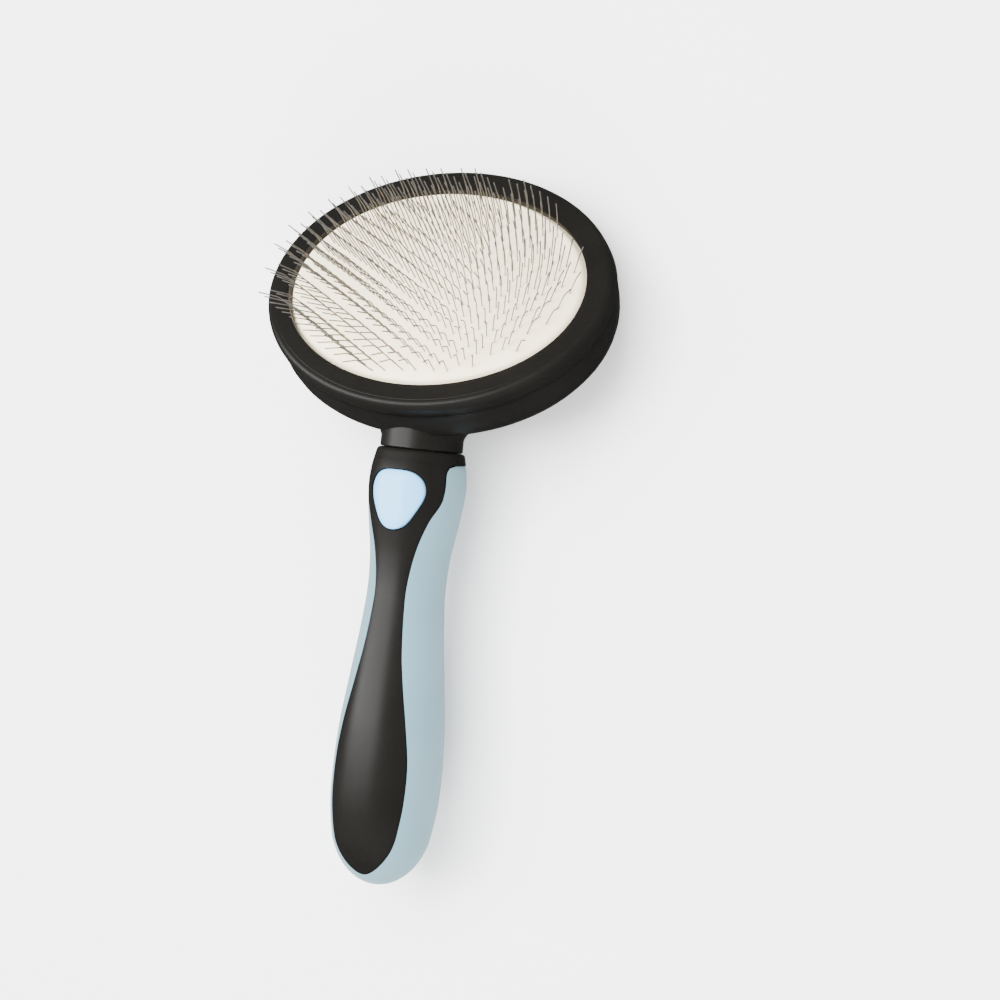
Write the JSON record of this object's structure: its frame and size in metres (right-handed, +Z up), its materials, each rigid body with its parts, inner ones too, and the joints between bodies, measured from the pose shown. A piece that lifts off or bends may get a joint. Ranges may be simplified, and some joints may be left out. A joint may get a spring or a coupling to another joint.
{
  "type": "slicker brush",
  "caption": "Pet slicker brush: an oval cushion of fine bent wire pins in a tilted head that plugs into a soft-grip handle with a release button.",
  "frame": {"origin": "centre of the underside of the brush's bounding box", "axes": "+X across the head to the right, +Y along the brush from the handle's end to the head, +Z up, towards the side that the pins are on"},
  "size_m": [0.097, 0.187, 0.0505],
  "materials": {
    "black_abs": "satin",
    "blue_tpr": "matte",
    "pale_blue_abs": "gloss",
    "ivory_rubber": "matte",
    "foam": "matte",
    "backing_cloth": "woven",
    "steel_wire": "drawn wire",
    "white_pom": "satin"
  },
  "bodies": {
    "handle": {"handle_core": "black_abs", "handle_collar": "black_abs", "grip_sleeve": "blue_tpr", "handle_front_cover": "black_abs", "button_spring": "steel_wire"},
    "button": {"release_button": "pale_blue_abs", "catch_plate": "white_pom"},
    "head": {"head_back_shell": "black_abs", "head_rim": "black_abs", "cushion_retainer": "black_abs", "cushion_pad": "ivory_rubber", "foam_cushion": "foam"},
    "pins": {"pin_foundation": "backing_cloth", "pin_row_01": "steel_wire", "pin_row_02": "steel_wire", "pin_row_03": "steel_wire", "pin_row_04": "steel_wire", "pin_row_05": "steel_wire", "pin_row_06": "steel_wire", "pin_row_07": "steel_wire", "pin_row_08": "steel_wire", "pin_row_09": "steel_wire", "pin_row_10": "steel_wire", "pin_row_11": "steel_wire"}
  },
  "joints": [
    {"name": "button_press", "type": "slide", "parent": "handle", "child": "button", "axis": [0, 0, -1], "range_m": [0, 0.002], "stiffness_N_per_m": 400, "deforming": ["button_spring"]},
    {"name": "head_release", "type": "slide", "parent": "handle", "child": "head", "axis": [0, 1, 0], "range_m": [0, 0.016]},
    {"name": "cushion_press", "type": "slide", "parent": "head", "child": "pins", "axis": [0, -0.4384, -0.8988], "range_m": [0, 0.0025], "stiffness_N_per_m": 3000, "deforming": ["cushion_pad", "foam_cushion"]}
  ]
}
